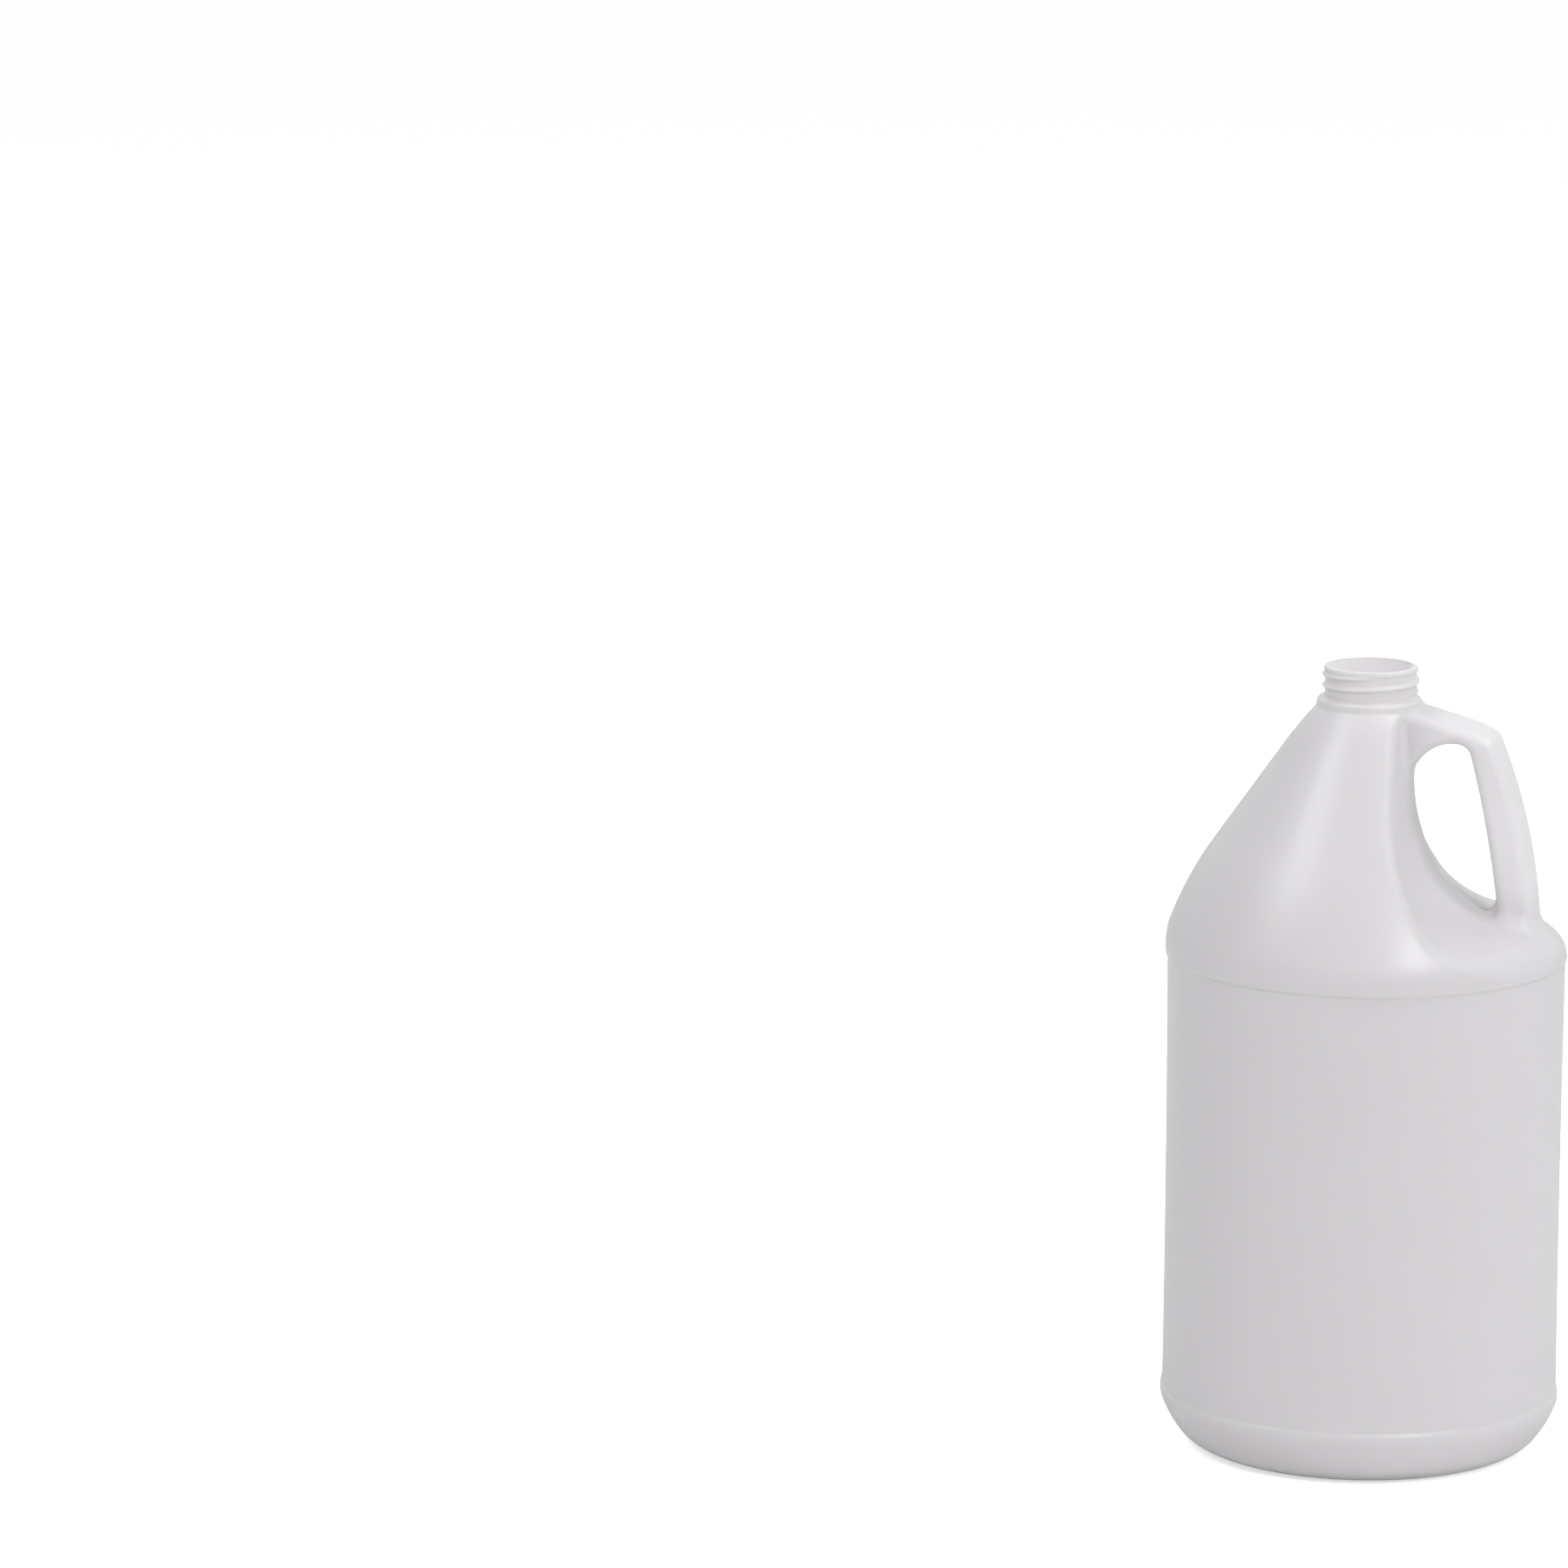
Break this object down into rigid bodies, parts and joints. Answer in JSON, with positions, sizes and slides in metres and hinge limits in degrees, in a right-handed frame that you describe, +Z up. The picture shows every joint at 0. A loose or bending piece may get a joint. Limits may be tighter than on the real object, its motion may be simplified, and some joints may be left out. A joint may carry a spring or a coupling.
{
  "type": "plastic jug",
  "caption": "Round white plastic gallon jug with a hollow handle and a threaded screw neck, empty and without its cap.",
  "frame": {"origin": "centre of the base on the surface the jug stands on", "axes": "+Z up along the neck's axis, +X towards the handle, the mould's parting plane is XZ"},
  "size_m": [0.1524, 0.1524, 0.302],
  "materials": {
    "jug_plastic": "satin"
  },
  "bodies": {
    "root": {"jug": "jug_plastic"}
  },
  "joints": []
}
